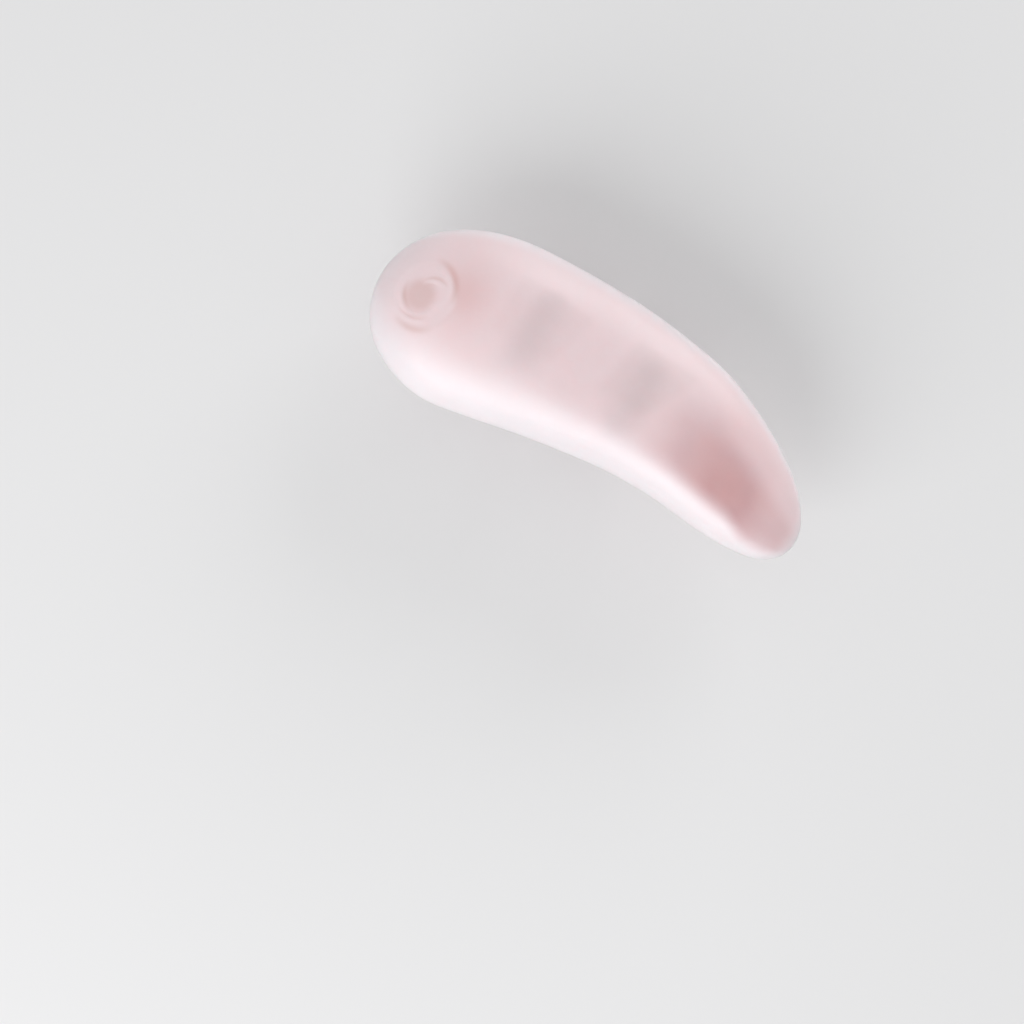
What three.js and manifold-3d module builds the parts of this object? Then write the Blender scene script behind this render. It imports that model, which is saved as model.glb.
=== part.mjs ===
// Hammer toe cushion: a crescent of soft gel that lies across the crease under the toes, with a toe loop
// cast on its back. The whole cushion is one casting, so it is one solid.
//
// Millimetres. +X runs along the cushion from its wide end to its narrow end, +Y points to the toe tips, and
// +Z points out of the rounded face, away from the foot. The cushion stands on the crown of its loop.
import * as THREE from "three";
import { mergeVertices } from "three/addons/utils/BufferGeometryUtils.js";
import Module from "manifold-3d";

// The pad
const PAD_LENGTH = 74;
const PAD_WIDTH = 28.5;
const PAD_SWAY = 3.5; // how far the middle line bends towards the ball of the foot at the narrow end
const DOME_HEIGHT = 9; // from the widest edge up to the top of the rounded face
const BACK_DEPTH = 3; // from the widest edge down to the flat back
const BACK_EDGE_ROUND = 5; // how far in from the long edges the back becomes flat
const BACK_END_ROUND = 13; // how far in from the tips it becomes flat

// The toe loop
const LOOP_INNER_WIDTH = 15.5;
const LOOP_INNER_HEIGHT = 10.5;
const LOOP_CROWN_FLAT = 8; // the straight stretch of the crown, which the cushion stands on
const LOOP_THICKNESS = 2.4;
const LOOP_BAND = 9.6; // how wide the band is along the toe
const LOOP_CORNER = 0.4; // how round the band's corners are, as a share of its thickness
const LOOP_FROM_WIDE_END = 33;
const LOOP_TOWARDS_TOES = 1.7; // from the straight line between the pad's tips
const ROOT_FLARE = 3.2; // how much the band thickens on each side where it joins the back
const ROOT_WIDENING = 0.8; // how much it widens on each side there
const ROOT_CORNER = 0.8; // how much rounder its corners are there, as a share of the flare
const ROOT_FLARE_DROP = 4.5; // how far below the back the flare ends
const ROOT_SINK = 1.5; // how deep the feet of the band run into the pad

// The gate dimple, where the mould was filled
const DIMPLE_DEPTH = 0.7; // below the dome as it would be without the dimple
const DIMPLE_BOWL_RADIUS = 80;
const DIMPLE_FROM_WIDE_END = 7.8;
const DIMPLE_TOWARDS_TOES = -2.6;

// Mesh fineness
const STATIONS = 40;
const DOME_STEPS = 26;
const BACK_EDGE_STEPS = 5;
const BACK_STEPS = 4;
const FOOT_STEPS = 10;
const BEND_STEPS = 9;
const CROWN_STEPS = 2;
const BAND_CORNER_STEPS = 4;
const DIMPLE_RINGS = 5;
const DIMPLE_STEPS = 36;

// Cross-sections along the pad. along: share of PAD_LENGTH from the wide end. half: share of half of
// PAD_WIDTH, before the ends are rounded off. sway: share of PAD_SWAY. dome: share of DOME_HEIGHT, before the
// ends are rounded off. shoulder: exponent of the section's curve, where 2 is an ellipse. lean: how much
// higher than the toe side the sole side of the dome stands.
const SECTIONS = [
  { along: 0.0, half: 1.51, sway: 0.81, dome: 1.5, shoulder: 2.1, lean: 0.0 },
  { along: 0.1, half: 1.37, sway: 0.66, dome: 1.36, shoulder: 2.1, lean: 0.02 },
  { along: 0.2, half: 1.23, sway: 0.47, dome: 1.2, shoulder: 2.1, lean: 0.05 },
  { along: 0.3, half: 1.063, sway: 0.13, dome: 1.08, shoulder: 2.15, lean: 0.1 },
  { along: 0.4, half: 0.947, sway: -0.2, dome: 1.0, shoulder: 2.25, lean: 0.15 },
  { along: 0.5, half: 0.877, sway: -0.44, dome: 0.97, shoulder: 2.35, lean: 0.2 },
  { along: 0.6, half: 0.835, sway: -0.54, dome: 0.97, shoulder: 2.5, lean: 0.24 },
  { along: 0.7, half: 0.835, sway: -0.44, dome: 1.01, shoulder: 2.65, lean: 0.26 },
  { along: 0.8, half: 0.858, sway: -0.02, dome: 1.12, shoulder: 2.8, lean: 0.26 },
  { along: 0.9, half: 0.898, sway: 0.5, dome: 1.3, shoulder: 2.8, lean: 0.22 },
  { along: 1.0, half: 0.982, sway: 1.0, dome: 1.45, shoulder: 2.6, lean: 0.15 },
];

// A smooth value between the rows of the table, for a share of the length.
function between(column, share) {
  const last = SECTIONS.length - 1;
  const at = THREE.MathUtils.clamp(share, 0, 1) * last;
  const row = Math.min(Math.floor(at), last - 1);
  const value = (i) => SECTIONS[THREE.MathUtils.clamp(i, 0, last)][column];
  const [a, b, c, d] = [value(row - 1), value(row), value(row + 1), value(row + 2)];
  const t = at - row;
  return b + 0.5 * t * (c - a + t * (2 * a - 5 * b + 4 * c - d + t * (3 * (b - c) + d - a)));
}

// How far the rounding of an end has grown, from 0 at a tip to 1 at mid-length: an ellipse.
const endRound = (share) => 2 * Math.sqrt(Math.max(share * (1 - share), 0));

// A quarter circle's rise from 0 to 1.
const quarterRound = (t) => Math.sqrt(1 - (1 - THREE.MathUtils.clamp(t, 0, 1)) ** 2);

const padHalfWidth = (share) => (PAD_WIDTH / 2) * between("half", share) * endRound(share);
const padMiddle = (share) => -PAD_SWAY * between("sway", share);

// Height of the rounded face at a place across the pad, from -1 at the sole side to 1 at the toe side.
function domeHeight(share, across) {
  const shoulder = between("shoulder", share);
  const rise = Math.max(1 - Math.abs(across) ** shoulder, 0) ** (1 / shoulder);
  const top = DOME_HEIGHT * between("dome", share) * endRound(share);
  return top * rise * (1 - between("lean", share) * across);
}

// One cross-section of the pad, seen along +X and going round from the toe side over the dome.
function padSection(share) {
  const half = padHalfWidth(share);
  const middle = padMiddle(share);
  const x = PAD_LENGTH * share;
  const power = 2 / between("shoulder", share);
  const ring = [];
  for (let i = 0; i < DOME_STEPS; i++) {
    const turn = (Math.PI * i) / DOME_STEPS;
    const across = Math.sign(Math.cos(turn)) * Math.abs(Math.cos(turn)) ** power;
    ring.push(new THREE.Vector3(x, middle + half * across, domeHeight(share, across)));
  }
  const depth = BACK_DEPTH * quarterRound((PAD_LENGTH * Math.min(share, 1 - share)) / BACK_END_ROUND);
  const inset = Math.min(BACK_EDGE_ROUND, half / 2);
  const edge = (side, i) => {
    const turn = (Math.PI / 2) * (i / BACK_EDGE_STEPS);
    const reach = half - inset * (1 - Math.cos(turn));
    return new THREE.Vector3(x, middle + side * reach, -depth * Math.sin(turn));
  };
  for (let i = 0; i <= BACK_EDGE_STEPS; i++) ring.push(edge(-1, i));
  for (let i = 1; i < BACK_STEPS; i++) {
    const y = THREE.MathUtils.lerp(middle - half + inset, middle + half - inset, i / BACK_STEPS);
    ring.push(new THREE.Vector3(x, y, -depth));
  }
  for (let i = BACK_EDGE_STEPS; i > 0; i--) ring.push(edge(1, i));
  return ring;
}

// A closed skin over rings of equally many points, each end closed by a fan from its own point.
function skin(rings, firstPoint, lastPoint) {
  const count = rings[0].length;
  const points = [...rings.flat(), firstPoint, lastPoint];
  const [first, last] = [points.length - 2, points.length - 1];
  const faces = [];
  for (let i = 0; i < count; i++) {
    const next = (i + 1) % count;
    for (let start = 0; start < first - count; start += count) {
      const [a, b] = [start + i, start + next];
      faces.push(a, b, a + count, b, b + count, a + count);
    }
    faces.push(first, next, i, last, first - count + i, first - count + next);
  }
  return new THREE.BufferGeometry().setFromPoints(points).setIndex(faces);
}

function padGeometry() {
  const rings = [];
  for (let i = 1; i < STATIONS; i++) {
    rings.push(padSection((1 - Math.cos((Math.PI * i) / STATIONS)) / 2));
  }
  const tip = (share) => new THREE.Vector3(PAD_LENGTH * share, padMiddle(share), 0);
  return skin(rings, tip(0), tip(1));
}

// The middle of the loop's band, seen along the toe: upright feet, round bends and a flat crown.
// Its height is 0 at the pad's back.
function loopRoute() {
  const side = (LOOP_INNER_WIDTH + LOOP_THICKNESS) / 2;
  const crown = -LOOP_INNER_HEIGHT - LOOP_THICKNESS / 2;
  const bendWidth = side - LOOP_CROWN_FLAT / 2;
  const bendHeight = Math.min(bendWidth, LOOP_INNER_HEIGHT);
  const roundness = 0.55; // makes a Bezier curve a quarter of an ellipse
  const at = (x, z) => new THREE.Vector3(x, 0, z);
  const footEnd = at(side, crown + bendHeight);
  const bendOut = at(side, crown + bendHeight * (1 - roundness));
  const bendIn = at(side - bendWidth * (1 - roundness), crown);
  const crownEnd = at(LOOP_CROWN_FLAT / 2, crown);
  const mirrored = (p) => at(-p.x, p.z);
  return [
    { curve: new THREE.LineCurve3(at(-side, ROOT_SINK), mirrored(footEnd)), steps: FOOT_STEPS },
    {
      curve: new THREE.CubicBezierCurve3(...[footEnd, bendOut, bendIn, crownEnd].map(mirrored)),
      steps: BEND_STEPS,
    },
    { curve: new THREE.LineCurve3(mirrored(crownEnd), crownEnd), steps: CROWN_STEPS },
    { curve: new THREE.CubicBezierCurve3(crownEnd, bendIn, bendOut, footEnd), steps: BEND_STEPS },
    { curve: new THREE.LineCurve3(footEnd, at(side, ROOT_SINK)), steps: FOOT_STEPS },
  ];
}

// A cross-section of the band, square to its route, with round corners. flare is 0 along the band and 1 where
// it joins the pad's back.
function bandSection(middle, outwards, flare) {
  const halfThick = LOOP_THICKNESS / 2 + ROOT_FLARE * flare;
  const halfWide = LOOP_BAND / 2 + ROOT_WIDENING * flare;
  const corner = LOOP_THICKNESS * LOOP_CORNER + ROOT_FLARE * ROOT_CORNER * flare;
  const ring = [];
  for (let quarter = 0; quarter < 4; quarter++) {
    const sideOut = quarter === 0 || quarter === 3 ? 1 : -1;
    const sideY = quarter < 2 ? 1 : -1;
    for (let i = 0; i <= BAND_CORNER_STEPS; i++) {
      const turn = (Math.PI / 2) * (quarter + i / BAND_CORNER_STEPS);
      const out = sideOut * (halfThick - corner) + corner * Math.cos(turn);
      const y = sideY * (halfWide - corner) + corner * Math.sin(turn);
      ring.push(middle.clone().addScaledVector(outwards, out).setY(y));
    }
  }
  return ring;
}

// The toe loop, thicker and wider where it joins the pad's back.
function loopGeometry() {
  const rings = [];
  for (const { curve, steps } of loopRoute()) {
    for (let i = rings.length ? 1 : 0; i <= steps; i++) {
      const middle = curve.getPoint(i / steps);
      const along = curve.getTangent(i / steps);
      const outwards = new THREE.Vector3(along.z, 0, -along.x);
      const flare = 1 - quarterRound(-middle.z / ROOT_FLARE_DROP);
      rings.push(bandSection(middle, outwards, flare));
    }
  }
  const middleOf = (ring) => {
    const sum = ring.reduce((total, p) => total.add(p), new THREE.Vector3());
    return sum.divideScalar(ring.length);
  };
  const loop = skin(rings, middleOf(rings[0]), middleOf(rings.at(-1)));
  return loop.translate(LOOP_FROM_WIDE_END, LOOP_TOWARDS_TOES, -BACK_DEPTH);
}

function domePoint(x, y) {
  const share = x / PAD_LENGTH;
  return new THREE.Vector3(x, y, domeHeight(share, (y - padMiddle(share)) / padHalfWidth(share)));
}

// What is taken out for the gate dimple: a shallow bowl that sits square on the dome.
function dimpleCutter() {
  const opening = Math.acos(1 - DIMPLE_DEPTH / DIMPLE_BOWL_RADIUS);
  const profile = [];
  for (let i = 0; i <= DIMPLE_RINGS; i++) {
    const turn = (opening * i) / DIMPLE_RINGS;
    const depth = DIMPLE_BOWL_RADIUS * (1 - Math.cos(turn)) - DIMPLE_DEPTH;
    profile.push(new THREE.Vector2(DIMPLE_BOWL_RADIUS * Math.sin(turn), depth));
  }
  profile.push(new THREE.Vector2(profile.at(-1).x, DIMPLE_DEPTH), new THREE.Vector2(0, DIMPLE_DEPTH));
  const centre = domePoint(DIMPLE_FROM_WIDE_END, DIMPLE_TOWARDS_TOES);
  const step = 0.05;
  const alongX = domePoint(centre.x + step, centre.y).sub(centre);
  const alongY = domePoint(centre.x, centre.y + step).sub(centre);
  const upright = new THREE.Quaternion().setFromUnitVectors(
    new THREE.Vector3(0, 1, 0),
    alongX.cross(alongY).normalize(),
  );
  const cutter = new THREE.LatheGeometry(profile, DIMPLE_STEPS);
  return cutter.applyQuaternion(upright).translate(centre.x, centre.y, centre.z);
}

const wasm = await Module();
wasm.setup();

// A geometry as a solid that can be joined and cut, with its faces turned outwards.
function solidOf(geometry) {
  const bare = new THREE.BufferGeometry().setAttribute("position", geometry.getAttribute("position"));
  const closed = mergeVertices(bare.setIndex(geometry.index), 1e-4);
  const vertProperties = closed.attributes.position.array;
  const triVerts = new Uint32Array(closed.index.array);
  const solid = new wasm.Manifold(new wasm.Mesh({ numProp: 3, vertProperties, triVerts }));
  if (solid.volume() > 0) return solid;
  triVerts.reverse();
  return new wasm.Manifold(new wasm.Mesh({ numProp: 3, vertProperties, triVerts }));
}

function geometryOf(solid) {
  const { vertProperties, triVerts } = solid.getMesh();
  const geometry = new THREE.BufferGeometry();
  geometry.setAttribute("position", new THREE.BufferAttribute(vertProperties, 3));
  geometry.setIndex(new THREE.BufferAttribute(triVerts, 1));
  geometry.computeVertexNormals();
  return geometry;
}

const frostedGel = new THREE.MeshStandardMaterial({
  color: 0xebdce0,
  roughness: 0.4,
  metalness: 0,
  transparent: true,
  opacity: 0.85,
});

const casting = solidOf(padGeometry()).add(solidOf(loopGeometry())).subtract(solidOf(dimpleCutter()));
const cushion = new THREE.Mesh(geometryOf(casting), frostedGel);
cushion.name = "toe_cushion";

// The origin is under the middle of the cushion, on the surface that the loop's crown stands on.
cushion.geometry.computeBoundingBox();
const { min, max } = cushion.geometry.boundingBox;
cushion.position.set(-(min.x + max.x) / 2, -(min.y + max.y) / 2, -min.z);

const hammerToeCushion = new THREE.Group();
hammerToeCushion.add(cushion);

export default hammerToeCushion;
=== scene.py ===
import math

import bmesh
import bpy
import numpy as np
from mathutils import Matrix, Vector


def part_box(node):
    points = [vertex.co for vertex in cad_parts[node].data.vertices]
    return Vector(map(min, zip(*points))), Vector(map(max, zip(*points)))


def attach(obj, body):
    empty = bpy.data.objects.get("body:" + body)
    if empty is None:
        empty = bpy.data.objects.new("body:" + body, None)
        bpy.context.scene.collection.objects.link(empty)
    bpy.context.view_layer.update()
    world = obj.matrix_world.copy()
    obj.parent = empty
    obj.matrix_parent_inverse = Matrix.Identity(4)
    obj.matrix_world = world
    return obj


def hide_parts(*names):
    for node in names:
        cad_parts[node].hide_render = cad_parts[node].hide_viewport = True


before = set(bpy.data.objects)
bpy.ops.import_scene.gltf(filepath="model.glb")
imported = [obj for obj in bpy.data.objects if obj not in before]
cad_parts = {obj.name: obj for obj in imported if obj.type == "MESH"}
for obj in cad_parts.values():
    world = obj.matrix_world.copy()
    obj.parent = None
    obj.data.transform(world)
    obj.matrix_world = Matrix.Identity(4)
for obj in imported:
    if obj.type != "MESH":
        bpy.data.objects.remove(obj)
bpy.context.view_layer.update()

MM = 0.001
NODE = "toe_cushion"
LOW, HIGH = (np.array(corner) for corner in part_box(NODE))

# The pad, in millimetres. x runs from the wide end, y from the straight line between the tips towards the
# toes, and z from the widest edge out of the dome.
PAD_LENGTH = (HIGH[0] - LOW[0]) / MM
PAD_WIDTH = 28.5
PAD_SWAY = 3.5
DOME_HEIGHT = 9.0
BACK_DEPTH = 3.0
BACK_EDGE_ROUND = 5.0
BACK_END_ROUND = 13.0

# The toe loop
LOOP_INNER_WIDTH = 15.5
LOOP_INNER_HEIGHT = 10.5
LOOP_CROWN_FLAT = 8.0
LOOP_THICKNESS = 2.4
LOOP_BAND = 9.6
LOOP_CORNER = 0.4
LOOP_FROM_WIDE_END = 33.0
LOOP_TOWARDS_TOES = 1.7
ROOT_FLARE = 3.2
ROOT_WIDENING = 0.8
ROOT_CORNER = 0.8
ROOT_FLARE_DROP = 4.5
ROOT_SINK = 1.5

# The gate dimple: a shallow dish with a faint raised rim, which is strongest at two opposite places
DIMPLE_FROM_WIDE_END = 7.8
DIMPLE_TOWARDS_TOES = -2.6
DIMPLE_RADIUS = 5.2
DIMPLE_DEPTH = 0.5
DIMPLE_REACH = 2 * DIMPLE_RADIUS  # how far round its centre the dome is worked
DIMPLE_DROP = 0.75 * DIMPLE_RADIUS  # and how far below its centre
DISH_FLATNESS = 3  # a higher number gives a flatter floor
DISH_EDGE = 1.5  # a higher number gives a softer edge
RIM_HEIGHT = 0.05
RIM_HALF_WIDTH = 0.5
RIM_STRONGEST = 65  # degrees from +X towards +Y
RIM_WEAKEST = 0.1  # as a share of its height where it is strongest

# Cross-sections along the pad, evenly spaced from the wide end to the narrow end. half: share of half of
# PAD_WIDTH. sway: share of PAD_SWAY. dome: share of DOME_HEIGHT. shoulder: exponent of the section's curve,
# where 2 is an ellipse. lean: how much higher than the toe side the sole side of the dome stands.
COLUMNS = ("half", "sway", "dome", "shoulder", "lean")
SECTIONS = (
    (1.51, 0.81, 1.5, 2.1, 0.0),
    (1.37, 0.66, 1.36, 2.1, 0.02),
    (1.23, 0.47, 1.2, 2.1, 0.05),
    (1.063, 0.13, 1.08, 2.15, 0.1),
    (0.947, -0.2, 1.0, 2.25, 0.15),
    (0.877, -0.44, 0.97, 2.35, 0.2),
    (0.835, -0.54, 0.97, 2.5, 0.24),
    (0.835, -0.44, 1.01, 2.65, 0.26),
    (0.858, -0.02, 1.12, 2.8, 0.26),
    (0.898, 0.5, 1.3, 2.8, 0.22),
    (0.982, 1.0, 1.45, 2.6, 0.15),
)

# Mesh fineness
STATIONS = 360
DOME_STEPS = 200
BACK_EDGE_STEPS = 12
BACK_STEPS = 16
FOOT_STEPS = 30
BEND_STEPS = 26
CROWN_STEPS = 8
BAND_CORNER_STEPS = 8


def between(column, share):
    """A smooth value between the rows of the table, for a share of the length."""
    values = np.array([row[COLUMNS.index(column)] for row in SECTIONS])
    last = len(values) - 1
    at = np.clip(share, 0, 1) * last
    row = np.minimum(np.floor(at).astype(int), last - 1)
    a, b, c, d = (values[np.clip(row + k, 0, last)] for k in (-1, 0, 1, 2))
    t = at - row
    return b + 0.5 * t * (c - a + t * (2 * a - 5 * b + 4 * c - d + t * (3 * (b - c) + d - a)))


def end_round(share):
    """How far the rounding of an end has grown, from 0 at a tip to 1 at mid-length: an ellipse."""
    return 2 * np.sqrt(np.maximum(share * (1 - share), 0))


def quarter_round(t):
    """A quarter circle's rise from 0 to 1."""
    return np.sqrt(1 - (1 - np.clip(t, 0, 1)) ** 2)


def smooth(value, low, high):
    """A soft step from 0 at low to 1 at high."""
    t = np.clip((value - low) / (high - low), 0, 1)
    return t * t * (3 - 2 * t)


def pad_half_width(share):
    return PAD_WIDTH / 2 * between("half", share) * end_round(share)


def pad_middle(share):
    return -PAD_SWAY * between("sway", share)


def dome_height(share, across):
    """Height of the rounded face, across from -1 at the sole side to 1 at the toe side."""
    shoulder = between("shoulder", share)
    rise = np.maximum(1 - np.abs(across) ** shoulder, 0) ** (1 / shoulder)
    top = DOME_HEIGHT * between("dome", share) * end_round(share)
    return top * rise * (1 - between("lean", share) * across)


def pad_section(share):
    """One ring round the pad: over the dome from the toe side, then back along the flat back."""
    half, middle, x = pad_half_width(share), pad_middle(share), PAD_LENGTH * share
    turn = math.pi * np.arange(DOME_STEPS) / DOME_STEPS
    across = np.sign(np.cos(turn)) * np.abs(np.cos(turn)) ** (2 / between("shoulder", share))
    dome = np.stack([middle + half * across, dome_height(share, across)], axis=1)
    depth = BACK_DEPTH * quarter_round(PAD_LENGTH * min(share, 1 - share) / BACK_END_ROUND)
    inset = min(BACK_EDGE_ROUND, half / 2)
    turn = math.pi / 2 * np.arange(BACK_EDGE_STEPS + 1) / BACK_EDGE_STEPS
    reach, drop = half - inset * (1 - np.cos(turn)), -depth * np.sin(turn)
    sole_edge = np.stack([middle - reach, drop], axis=1)
    toe_edge = np.stack([middle + reach, drop], axis=1)[:0:-1]
    y = middle + (half - inset) * (2 * np.arange(1, BACK_STEPS) / BACK_STEPS - 1)
    back = np.stack([y, np.full_like(y, -depth)], axis=1)
    ring = np.concatenate([dome, sole_edge, back, toe_edge])
    return np.column_stack([np.full(len(ring), x), ring])


def dimple_frame():
    """The dimple's centre on the dome, two directions along the surface and one out of it."""

    def on_dome(x, y):
        share = x / PAD_LENGTH
        across = (y - pad_middle(share)) / pad_half_width(share)
        return np.array([x, y, float(dome_height(share, across))])

    step = 0.05
    centre = on_dome(DIMPLE_FROM_WIDE_END, DIMPLE_TOWARDS_TOES)
    along_x = on_dome(centre[0] + step, centre[1]) - centre
    along_y = on_dome(centre[0], centre[1] + step) - centre
    out = np.cross(along_x, along_y)
    out /= np.linalg.norm(out)
    u = along_x / np.linalg.norm(along_x)
    return centre, u, np.cross(out, u), out


def round_dimple(points):
    """How far points lie from the dimple's centre along the dome, at which angle round it, and how high."""
    centre, u, v, out = dimple_frame()
    away = points - centre
    a, b = away @ u, away @ v
    return np.hypot(a, b), np.arctan2(b, a), away @ out


# Ridges of the dimple's swirl. radius, width and height: in millimetres. arm: where round the dimple the
# ridge is highest, in degrees from +X towards +Y. spread: how far it reaches on each side of that, in
# degrees. drift: how much its radius grows over that reach.
SWIRL = (
    {"radius": 4.15, "width": 0.4, "height": 0.25, "arm": 60, "spread": 56, "drift": 0.9},
    {"radius": 2.45, "width": 0.34, "height": 0.22, "arm": 97, "spread": 54, "drift": -0.6},
    {"radius": 3.3, "width": 0.32, "height": 0.18, "arm": 92, "spread": 46, "drift": -0.6},
    {"radius": 3.3, "width": 0.36, "height": 0.22, "arm": 276, "spread": 56, "drift": -0.8},
    {"radius": 4.3, "width": 0.34, "height": 0.18, "arm": 268, "spread": 44, "drift": -0.7},
    {"radius": 4.1, "width": 0.4, "height": 0.12, "arm": 205, "spread": 42, "drift": -0.4},
    {"radius": 2.4, "width": 0.5, "height": 0.12, "arm": 358, "spread": 50, "drift": 0.6},
)
ARC_FADE = 1.5  # a higher number gives an arc longer, softer ends


def arcs(table, r, angle):
    """Height of the arcs in a table at a distance from the dimple's centre and an angle round it."""
    total = np.zeros_like(r)
    for arc in table:
        turn = (angle - math.radians(arc["arm"]) + math.pi) % (2 * math.pi) - math.pi
        reach = turn / math.radians(arc["spread"])
        fade = np.clip(1 - reach**2, 0, 1) ** ARC_FADE
        radius = arc["radius"] + arc["drift"] * reach
        total += arc["height"] * fade * np.exp(-(((r - radius) / arc["width"]) ** 2))
    return total


def with_dimple(points):
    """The pad's points with the gate dimple pressed into the dome."""
    r, angle, high = round_dimple(points)
    dish = -DIMPLE_DEPTH * np.clip(1 - (r / DIMPLE_RADIUS) ** DISH_FLATNESS, 0, 1) ** DISH_EDGE
    wave = np.cos(2 * (angle - math.radians(RIM_STRONGEST)))
    rim_strength = (1 + RIM_WEAKEST) / 2 + (1 - RIM_WEAKEST) / 2 * wave
    rim = RIM_HEIGHT * rim_strength * np.exp(-(((r - DIMPLE_RADIUS) / RIM_HALF_WIDTH) ** 2))
    relief = dish + rim + arcs(SWIRL, r, angle)
    near = (r < DIMPLE_REACH) & (high > -DIMPLE_DROP)
    out = dimple_frame()[-1]
    return points + np.where(near, relief, 0)[:, None] * out


def skin(rings, first_point, last_point):
    """Points and faces of a closed skin over rings of equally many points."""
    count, total = len(rings[0]), len(rings) * len(rings[0])
    points = np.concatenate([*rings, [first_point, last_point]])
    i = np.arange(count)
    j = (i + 1) % count
    faces = []
    for start in range(0, total - count, count):
        a, b = start + i, start + j
        faces += np.stack([a, b, b + count, a + count], axis=1).tolist()
    last_ring = total - count
    faces += np.stack([np.full(count, total), j, i], axis=1).tolist()
    faces += np.stack([np.full(count, total + 1), last_ring + i, last_ring + j], axis=1).tolist()
    return points, faces


def pad_skin():
    shares = (1 - np.cos(math.pi * np.arange(1, STATIONS) / STATIONS)) / 2
    tips = [(PAD_LENGTH * share, float(pad_middle(share)), 0.0) for share in (0.0, 1.0)]
    return skin([pad_section(share) for share in shares], *tips)


def bezier(a, b, c, d, t):
    a, b, c, d = (np.array(p) for p in (a, b, c, d))
    t = t[:, None]
    return a * (1 - t) ** 3 + 3 * b * t * (1 - t) ** 2 + 3 * c * t * t * (1 - t) + d * t**3


def loop_route():
    """Points down the middle of the band, as x and z, with z 0 at the pad's back."""
    side = (LOOP_INNER_WIDTH + LOOP_THICKNESS) / 2
    crown = -LOOP_INNER_HEIGHT - LOOP_THICKNESS / 2
    bend_width = side - LOOP_CROWN_FLAT / 2
    bend_height = min(bend_width, LOOP_INNER_HEIGHT)
    roundness = 0.55  # makes a Bezier curve a quarter of an ellipse
    foot_end = (side, crown + bend_height)
    bend_out = (side, crown + bend_height * (1 - roundness))
    bend_in = (side - bend_width * (1 - roundness), crown)
    crown_end = (LOOP_CROWN_FLAT / 2, crown)
    foot = np.linspace((side, ROOT_SINK), foot_end, FOOT_STEPS, endpoint=False)
    bend = bezier(foot_end, bend_out, bend_in, crown_end, np.linspace(0, 1, BEND_STEPS, endpoint=False))
    half_crown = np.linspace(crown_end, (0, crown), CROWN_STEPS)
    right = np.concatenate([foot, bend, half_crown])
    left = right[:-1] * (-1, 1)
    return np.concatenate([left, right[::-1]])


def band_section(middle, outwards, flare):
    """A rounded rectangle square to the band's route. flare is 0 along the band and 1 at the pad's back."""
    half_thick = LOOP_THICKNESS / 2 + ROOT_FLARE * flare
    half_wide = LOOP_BAND / 2 + ROOT_WIDENING * flare
    corner = LOOP_THICKNESS * LOOP_CORNER + ROOT_FLARE * ROOT_CORNER * flare
    ring = []
    for quarter in range(4):
        side_out = 1 if quarter in (0, 3) else -1
        side_y = 1 if quarter < 2 else -1
        for i in range(BAND_CORNER_STEPS + 1):
            turn = math.pi / 2 * (quarter + i / BAND_CORNER_STEPS)
            out = side_out * (half_thick - corner) + corner * math.cos(turn)
            y = side_y * (half_wide - corner) + corner * math.sin(turn)
            ring.append((middle[0] + outwards[0] * out, y, middle[1] + outwards[1] * out))
    return np.array(ring)


def loop_skin():
    route = loop_route()
    along = np.gradient(route, axis=0)
    along /= np.linalg.norm(along, axis=1)[:, None]
    outwards = np.stack([along[:, 1], -along[:, 0]], axis=1)
    flare = 1 - quarter_round(-route[:, 1] / ROOT_FLARE_DROP)
    rings = [band_section(m, o, f) for m, o, f in zip(route, outwards, flare)]
    points, faces = skin(rings, rings[0].mean(axis=0), rings[-1].mean(axis=0))
    return points + (LOOP_FROM_WIDE_END, LOOP_TOWARDS_TOES, -BACK_DEPTH), faces


def toe_reach():
    """How far the pad reaches towards the toes."""
    shares = np.linspace(0, 1, 400)
    return float(np.max(pad_middle(shares) + pad_half_width(shares)))


# From the pad's own coordinates to the frame's, both in millimetres
SHIFT = np.array([LOW[0] / MM, HIGH[1] / MM - toe_reach(), BACK_DEPTH + LOOP_INNER_HEIGHT + LOOP_THICKNESS])


def mesh_object(name, points, faces):
    """An object in the frame's metres, with its faces turned outwards."""
    mesh = bpy.data.meshes.new(name)
    mesh.from_pydata(((points + SHIFT) * MM).tolist(), [], faces)
    mesh.validate()
    mesh.update()
    made = bpy.data.objects.new(name, mesh)
    bpy.context.scene.collection.objects.link(made)
    bpy.context.view_layer.update()
    bm = bmesh.new()
    bm.from_mesh(mesh)
    bmesh.ops.recalc_face_normals(bm, faces=bm.faces)
    bm.to_mesh(mesh)
    bm.free()
    return made


def join(body, other):
    """Makes one closed mesh of two that overlap."""
    union = body.modifiers.new("join", "BOOLEAN")
    union.operation = "UNION"
    union.solver = "EXACT"
    union.object = other
    with bpy.context.temp_override(object=body, active_object=body, selected_objects=[body]):
        bpy.ops.object.modifier_apply(modifier="join")
    bpy.data.objects.remove(other)


pad_points, pad_faces = pad_skin()
pad = mesh_object("gel_cushion", with_dimple(pad_points), pad_faces)
join(pad, mesh_object("gel_loop", *loop_skin()))
for polygon in pad.data.polygons:
    polygon.use_smooth = True


# The tints are marks on the mesh's points, from 0 to 1, which the gel's material reads. A pair of numbers is
# the range over which a tint comes in or goes out: across the pad from -1 at the sole side to 1 at the toe
# side, along it as shares of its length, and upwards in millimetres.

# The rose of thick gel, which is pale towards the outline
ROSE_SOLE_SIDE = (-0.95, -0.3)
ROSE_TOE_SIDE = (0.82, 1.0)
ROSE_END_FADE = 9.0
ROSE_UPWARDS = (-2 * BACK_DEPTH, 0)

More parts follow.
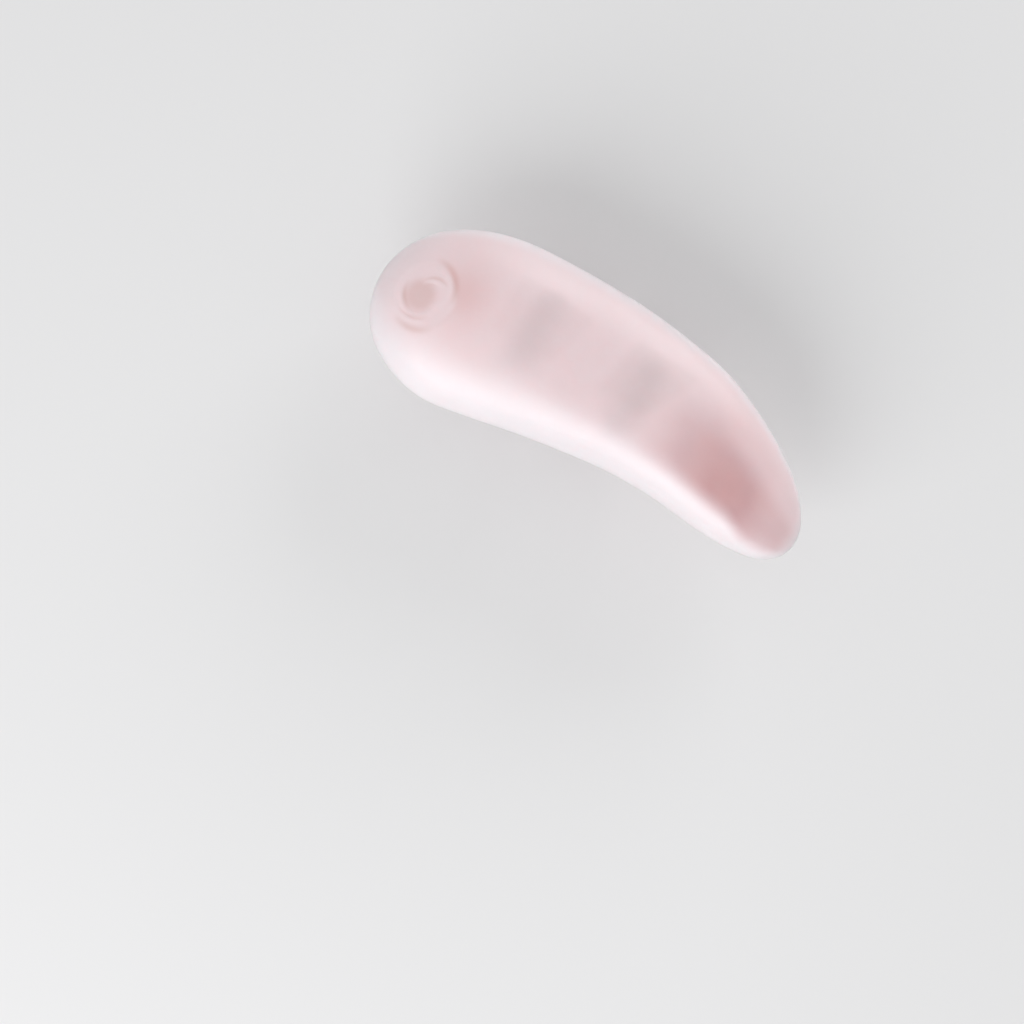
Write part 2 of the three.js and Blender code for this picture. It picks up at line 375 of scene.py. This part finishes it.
# The mauve of the narrow end: a darker tint, partly the gel's own mauve and partly painted shade seen through
# the gel
MAUVE_SOLE_SIDE = (-0.74, -0.38)
MAUVE_CLOSER = 0.17  # how much nearer to the sole side it comes at the tip
MAUVE_CLOSER_ALONG = (0.84, 0.91)
MAUVE_THINNING = 0.65  # how much of it is lost from the middle towards the toes
MAUVE_THINNING_ACROSS = (0, 0.5)
MAUVE_TOE_SIDE = (0.55, 1.0)
MAUVE_START_ALONG = (0.58, 0.8)
MAUVE_TIP_THINNING = 0.5
MAUVE_TIP_THINNING_ALONG = (0.85, 0.94)
MAUVE_TIP_FADE = 3
MAUVE_UPWARDS = (-BACK_DEPTH, 0)

# Painted shade of the loop's roots seen through the gel: grey patches. side: which foot of the loop. wide and
# long:
# half of the patch's size along X and Y. middle: its place towards the toes. narrowing: how much narrower it
# is at
# the sole side. skew: how far it leans towards the narrow end. shade: how strong it is.
ROOT_SHADE_PATCHES = (
    {"side": -1, "wide": 6.2, "long": 4.8, "middle": 3.1, "narrowing": 0.2, "skew": 0.1, "shade": 0.62},
    {"side": 1, "wide": 5.3, "long": 4.8, "middle": 4.2, "narrowing": 0.25, "skew": 0.3, "shade": 1.0},
)
ROOT_SHADE_BLUR = 1.1
ROOT_TOE_CRISPNESS = 1.6
ROOT_SOLE_CRISPNESS = 0.7

# Painted shade of the swirl: a disc of shade in the hollow beside the dimple's centre, and arcs of painted
# shadow beside the ridges, in the columns of the swirl, where height is how dark they look
DISC_OFFSET = (-0.9, -0.5)
DISC_RADIUS = 2.3
DISC_BLUR = 0.9
DISC_SHADE = 0.6
RIDGE_CLEARS = 0.22  # how high a ridge is where it takes all of the disc's tint away
SWIRL_SHADOW_ARCS = (
    {"radius": 4.85, "width": 0.5, "height": 0.9, "arm": 58, "spread": 54, "drift": 0.9},
    {"radius": 5.4, "width": 0.5, "height": 0.6, "arm": 278, "spread": 40, "drift": -0.3},
    {"radius": 2.9, "width": 0.3, "height": 0.6, "arm": 90, "spread": 44, "drift": -0.6},
    {"radius": 3.5, "width": 0.35, "height": 0.55, "arm": 211, "spread": 44, "drift": -0.3},
    {"radius": 3.8, "width": 0.3, "height": 0.4, "arm": 272, "spread": 40, "drift": -0.7},
)

# A rosier place beside the dimple
BLUSH_FROM_WIDE_END = 12.4
BLUSH_TOWARDS_TOES = 0.6
BLUSH_RADIUS = 4.1
BLUSH_DIMPLE_EDGE = (DIMPLE_RADIUS - 1.0, DIMPLE_RADIUS - 0.2)

TIP_MARGIN = 0.0005  # keeps shares of the length off the very tips, where the pad has no width


def share_and_across(points):
    """Where points lie along the pad, as a share of its length, and across it, from -1 to 1."""
    share = np.clip(points[:, 0] / PAD_LENGTH, TIP_MARGIN, 1 - TIP_MARGIN)
    return share, (points[:, 1] - pad_middle(share)) / pad_half_width(share)


def rose_mark(points):
    share, across = share_and_across(points)
    from_end = PAD_LENGTH * np.minimum(share, 1 - share)
    rose = smooth(across, *ROSE_SOLE_SIDE) * (1 - smooth(across, *ROSE_TOE_SIDE))
    return rose * quarter_round(from_end / ROSE_END_FADE) * smooth(points[:, 2], *ROSE_UPWARDS)


# Painted shade: darkens the narrow end in mauve, as shade seen through the gel
def mauve_shade_mark(points):
    share, across = share_and_across(points)
    from_end = PAD_LENGTH * np.minimum(share, 1 - share)
    closer = MAUVE_CLOSER * smooth(share, *MAUVE_CLOSER_ALONG)
    mauve_shade = smooth(across + closer, *MAUVE_SOLE_SIDE) * (1 - smooth(across, *MAUVE_TOE_SIDE))
    mauve_shade *= 1 - MAUVE_THINNING * smooth(across, *MAUVE_THINNING_ACROSS)
    mauve_shade *= smooth(share, *MAUVE_START_ALONG)
    mauve_shade *= 1 - MAUVE_TIP_THINNING * smooth(share, *MAUVE_TIP_THINNING_ALONG)
    return mauve_shade * smooth(from_end, 0, MAUVE_TIP_FADE) * smooth(points[:, 2], *MAUVE_UPWARDS)


# Painted shade: grey patches where the loop's roots stand behind the gel
def root_shade_mark(points):
    foot = (LOOP_INNER_WIDTH + LOOP_THICKNESS) / 2
    marks = np.zeros(len(points))
    for patch in ROOT_SHADE_PATCHES:
        y = points[:, 1] - patch["middle"]
        x = points[:, 0] - LOOP_FROM_WIDE_END - patch["side"] * foot - patch["skew"] * y
        to_toe_side, to_sole_side = patch["long"] - y, patch["long"] + y
        narrowing = 1 - patch["narrowing"] * to_toe_side / (2 * patch["long"])
        inside_x = patch["wide"] * narrowing - np.abs(x)
        inside_y = np.where(y > 0, to_toe_side * ROOT_TOE_CRISPNESS, to_sole_side * ROOT_SOLE_CRISPNESS)
        inside = smooth(inside_x, -ROOT_SHADE_BLUR, ROOT_SHADE_BLUR) * smooth(inside_y, -ROOT_SHADE_BLUR, ROOT_SHADE_BLUR)
        marks = np.maximum(marks, patch["shade"] * inside)
    return marks * (points[:, 2] > 0)


# Painted shade in the swirl's hollows, and painted shadow lines beside its ridges
def hollow_shade_mark(points):
    r, angle, _ = round_dimple(points)
    from_disc = np.hypot(r * np.cos(angle) - DISC_OFFSET[0], r * np.sin(angle) - DISC_OFFSET[1])
    disc = DISC_SHADE * (1 - smooth(from_disc, DISC_RADIUS - DISC_BLUR, DISC_RADIUS + DISC_BLUR))
    disc *= np.clip(1 - arcs(SWIRL, r, angle) / RIDGE_CLEARS, 0, 1)
    return np.clip(disc + arcs(SWIRL_SHADOW_ARCS, r, angle), 0, 1) * (points[:, 2] > 0)


def blush_mark(points):
    away = np.hypot(points[:, 0] - BLUSH_FROM_WIDE_END, points[:, 1] - BLUSH_TOWARDS_TOES)
    r, _, _ = round_dimple(points)
    return np.exp(-((away / BLUSH_RADIUS) ** 2)) * smooth(r, *BLUSH_DIMPLE_EDGE) * (points[:, 2] > 0)


MARKS = {
    "depth": rose_mark,
    "mauve_shade": mauve_shade_mark,
    "root": root_shade_mark,
    "hollow_shade": hollow_shade_mark,
    "blush": blush_mark,
}


def mark_tints(made):
    """Writes every mark on the points of the cushion."""
    points = np.empty(len(made.data.vertices) * 3)
    made.data.vertices.foreach_get("co", points)
    points = points.reshape(-1, 3) / MM - SHIFT
    for name, mark in MARKS.items():
        values = mark(points).astype(np.float32)
        made.data.attributes.new(name, "FLOAT", "POINT").data.foreach_set("value", values)


# The gel's colours
PALE_GEL = (0.95, 0.88, 0.91)
ROSE_GEL = (0.92, 0.75, 0.765)
# the darker mauves of the narrow end, partly painted shade
DARK_MAUVE_SHADE = (0.56, 0.29, 0.305)
LIGHT_MAUVE_SHADE = (0.66, 0.37, 0.37)
# painted shade of the loop's roots
ROOT_SHADE_GREY = (0.68, 0.56, 0.56)
# painted shade of the swirl's hollows
HOLLOW_SHADE_BROWN = (0.7, 0.48, 0.45)
BLUSH_ROSE = (0.78, 0.51, 0.5)

# How much of each tint shows at most
ROOT_SHADE_STRENGTH = 0.23
HOLLOW_SHADE_STRENGTH = 0.9
BLUSH_STRENGTH = 0.6

# How uneven the gel is. scale: how fine the noise is. detail: how many finer layers it has. low and high: the
# range of the noise that is used, and to_low and to_high: what that range becomes.
MILKINESS = {"scale": 90, "detail": 2, "low": 0.2, "high": 0.8, "to_low": 0.8, "to_high": 1.0}
MAUVE_MIX = {"scale": 120, "detail": 1, "low": 0.35, "high": 0.65, "to_low": 0.0, "to_high": 1.0}
ROUGHNESS = {"scale": 260, "detail": 3, "low": 0.3, "high": 0.7, "to_low": 0.36, "to_high": 0.44}
GRAIN = {"scale": 420, "detail": 3}
FINE_GRAIN = {"scale": 2600, "detail": 2}
GRAIN_STRENGTH = 0.08
GRAIN_HEIGHT = 0.4 * MM


class Painter:
    """Makes a material and the nodes that feed its shader."""

    def __init__(self, name):
        self.material = bpy.data.materials.new(name)
        self.material.use_nodes = True
        self.nodes = self.material.node_tree.nodes
        self.shader = self.nodes["Principled BSDF"]

    def fill(self, socket, value):
        """Gives a socket another node's output, a colour or a number."""
        if isinstance(value, bpy.types.NodeSocket):
            self.material.node_tree.links.new(value, socket)
        elif isinstance(value, tuple) and socket.type == "RGBA":
            socket.default_value = (*value, 1)
        else:
            socket.default_value = value

    def surface(self, **settings):
        """Sets the shader's sockets, each named in small letters with low lines between the words."""
        sockets = {socket.name.lower().replace(" ", "_"): socket for socket in self.shader.inputs}
        for name, value in settings.items():
            self.fill(sockets[name], value)

    def mark(self, name):
        made = self.nodes.new("ShaderNodeAttribute")
        made.attribute_name = name
        return made.outputs["Fac"]

    def noise(self, scale, detail):
        made = self.nodes.new("ShaderNodeTexNoise")
        place = self.nodes.new("ShaderNodeTexCoord")
        self.fill(made.inputs["Vector"], place.outputs["Object"])
        self.fill(made.inputs["Scale"], scale)
        self.fill(made.inputs["Detail"], detail)
        return made.outputs["Fac"]

    def maths(self, operation, a, b):
        made = self.nodes.new("ShaderNodeMath")
        made.operation = operation
        self.fill(made.inputs[0], a)
        self.fill(made.inputs[1], b)
        return made.outputs[0]

    def clouds(self, scale, detail, low, high, to_low, to_high):
        """A noise whose range from low to high becomes a soft step from to_low to to_high."""
        made = self.nodes.new("ShaderNodeMapRange")
        made.interpolation_type = "SMOOTHSTEP"
        self.fill(made.inputs["Value"], self.noise(scale, detail))
        self.fill(made.inputs["From Min"], low)
        self.fill(made.inputs["From Max"], high)
        self.fill(made.inputs["To Min"], to_low)
        self.fill(made.inputs["To Max"], to_high)
        return made.outputs["Result"]

    def mix(self, amount, a, b):
        made = self.nodes.new("ShaderNodeMix")
        made.data_type = "RGBA"
        self.fill(made.inputs["Factor"], amount)
        for key, colour in (("A", a), ("B", b)):
            self.fill(next(s for s in made.inputs if s.name == key and s.type == "RGBA"), colour)
        return next(s for s in made.outputs if s.type == "RGBA")

    def bump(self, height, strength, distance):
        made = self.nodes.new("ShaderNodeBump")
        self.fill(made.inputs["Height"], height)
        self.fill(made.inputs["Strength"], strength)
        self.fill(made.inputs["Distance"], distance)
        return made.outputs["Normal"]


def gel_colour(paint):
    """Pale at the outline, rosier where the gel is thick, and tinted by the other marks, most of them painted
    shade.
    """
    cloudy = paint.clouds(**MILKINESS)
    colour = paint.mix(paint.maths("MULTIPLY", paint.mark("depth"), cloudy), PALE_GEL, ROSE_GEL)
    # the narrow end's mauve, partly painted shade
    mauve_shade = paint.mix(paint.clouds(**MAUVE_MIX), DARK_MAUVE_SHADE, LIGHT_MAUVE_SHADE)
    colour = paint.mix(paint.maths("MULTIPLY", paint.mark("mauve_shade"), cloudy), colour, mauve_shade)
    for name, strength, tint in (
        ("root", ROOT_SHADE_STRENGTH, ROOT_SHADE_GREY),
        ("hollow_shade", HOLLOW_SHADE_STRENGTH, HOLLOW_SHADE_BROWN),
        ("blush", BLUSH_STRENGTH, BLUSH_ROSE),
    ):
        colour = paint.mix(paint.maths("MULTIPLY", paint.mark(name), strength), colour, tint)
    return colour


def gel_material():
    """Frosted gel: milky and see-through, with a satin skin of fine grain."""
    paint = Painter("frosted_gel")
    grain = paint.maths("ADD", paint.noise(**GRAIN), paint.noise(**FINE_GRAIN))
    paint.surface(
        base_color=gel_colour(paint),
        roughness=paint.clouds(**ROUGHNESS),
        ior=1.42,
        transmission_weight=0.42,
        subsurface_weight=0.85,
        subsurface_radius=(1.0, 0.8, 0.82),
        subsurface_scale=0.0035,
        coat_weight=0.6,
        coat_roughness=0.42,
        coat_ior=1.5,
        normal=paint.bump(grain, GRAIN_STRENGTH, GRAIN_HEIGHT),
    )
    return paint.material


mark_tints(pad)
pad.data.materials.clear()
pad.data.materials.append(gel_material())
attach(pad, "root")
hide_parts(NODE)

# The plain pale floor
FLOOR_HALF = 1.5
FLOOR_GREY = (0.68, 0.68, 0.685)


def floor():
    mesh = bpy.data.meshes.new("floor")
    corners = [(x * FLOOR_HALF, y * FLOOR_HALF, 0) for x, y in ((-1, -1), (1, -1), (1, 1), (-1, 1))]
    mesh.from_pydata(corners, [], [(0, 1, 2, 3)])
    made = bpy.data.objects.new("floor", mesh)
    bpy.context.scene.collection.objects.link(made)
    paint = Painter("pale_floor")
    paint.surface(base_color=FLOOR_GREY, roughness=0.9)
    mesh.materials.append(paint.material)


floor()

# The camera looks straight down on the dome and is turned as the photograph is.
PICTURE = 1024
PIXEL = 0.15 * MM  # how much of the cushion a pixel of the photograph shows
LENS, SENSOR = 100.0, 36.0
CHORD_TURN = math.radians(33.0)
PAD_CENTRE = (600.1, 389.7)  # the middle of the straight line between the tips, in the photograph's pixels
EDGE_Z = (LOOP_THICKNESS + LOOP_INNER_HEIGHT + BACK_DEPTH) * MM
CLIP_START = 0.01
right = Vector((math.cos(CHORD_TURN), math.sin(CHORD_TURN), 0))
up = Vector((-math.sin(CHORD_TURN), math.cos(CHORD_TURN), 0))
upwards = Vector((0, 0, 1))
pad_centre = Vector((0.0, SHIFT[1] * MM, EDGE_Z))


def camera():
    off_right = (PAD_CENTRE[0] - PICTURE / 2) * PIXEL
    off_up = (PICTURE / 2 - PAD_CENTRE[1]) * PIXEL
    distance = PICTURE * PIXEL * LENS / SENSOR
    place = pad_centre - off_right * right - off_up * up + distance * upwards
    data = bpy.data.cameras.new("camera")
    data.lens, data.sensor_width = LENS, SENSOR
    data.clip_start = CLIP_START
    made = bpy.data.objects.new("camera", data)
    made.matrix_world = Matrix.Translation(place) @ Matrix.Rotation(CHORD_TURN, 4, "Z")
    bpy.context.scene.collection.objects.link(made)
    bpy.context.scene.camera = made


# Soft studio light, strongest from the lower left of the picture. right, up and high: the direction to the
# lamp as the picture shows it, with high towards the camera. away and size: in metres. power: in watts.
LAMPS = (
    {"name": "key", "right": -0.62, "up": -0.9, "high": 0.68, "away": 0.6, "size": 0.6, "power": 3.0},
    {"name": "rim", "right": 0.6, "up": 0.8, "high": 0.3, "away": 0.7, "size": 0.6, "power": 2.8},
)
WORLD_STRENGTH = 0.62


def lamp(name, direction, away, size, power):
    data = bpy.data.lights.new(name, "AREA")
    data.shape = "DISK"
    data.size, data.energy = size, power
    made = bpy.data.objects.new(name, data)
    made.location = pad_centre + direction * away
    made.rotation_euler = direction.to_track_quat("Z", "Y").to_euler()
    bpy.context.scene.collection.objects.link(made)


def studio():
    for row in LAMPS:
        direction = right * row["right"] + up * row["up"] + upwards * row["high"]
        lamp(row["name"], direction.normalized(), row["away"], row["size"], row["power"])
    world = bpy.data.worlds.new("studio")
    world.use_nodes = True
    background = world.node_tree.nodes["Background"]
    background.inputs["Color"].default_value = (1, 1, 1, 1)
    background.inputs["Strength"].default_value = WORLD_STRENGTH
    bpy.context.scene.world = world
    bpy.context.scene.view_settings.view_transform = "Standard"


camera()
studio()
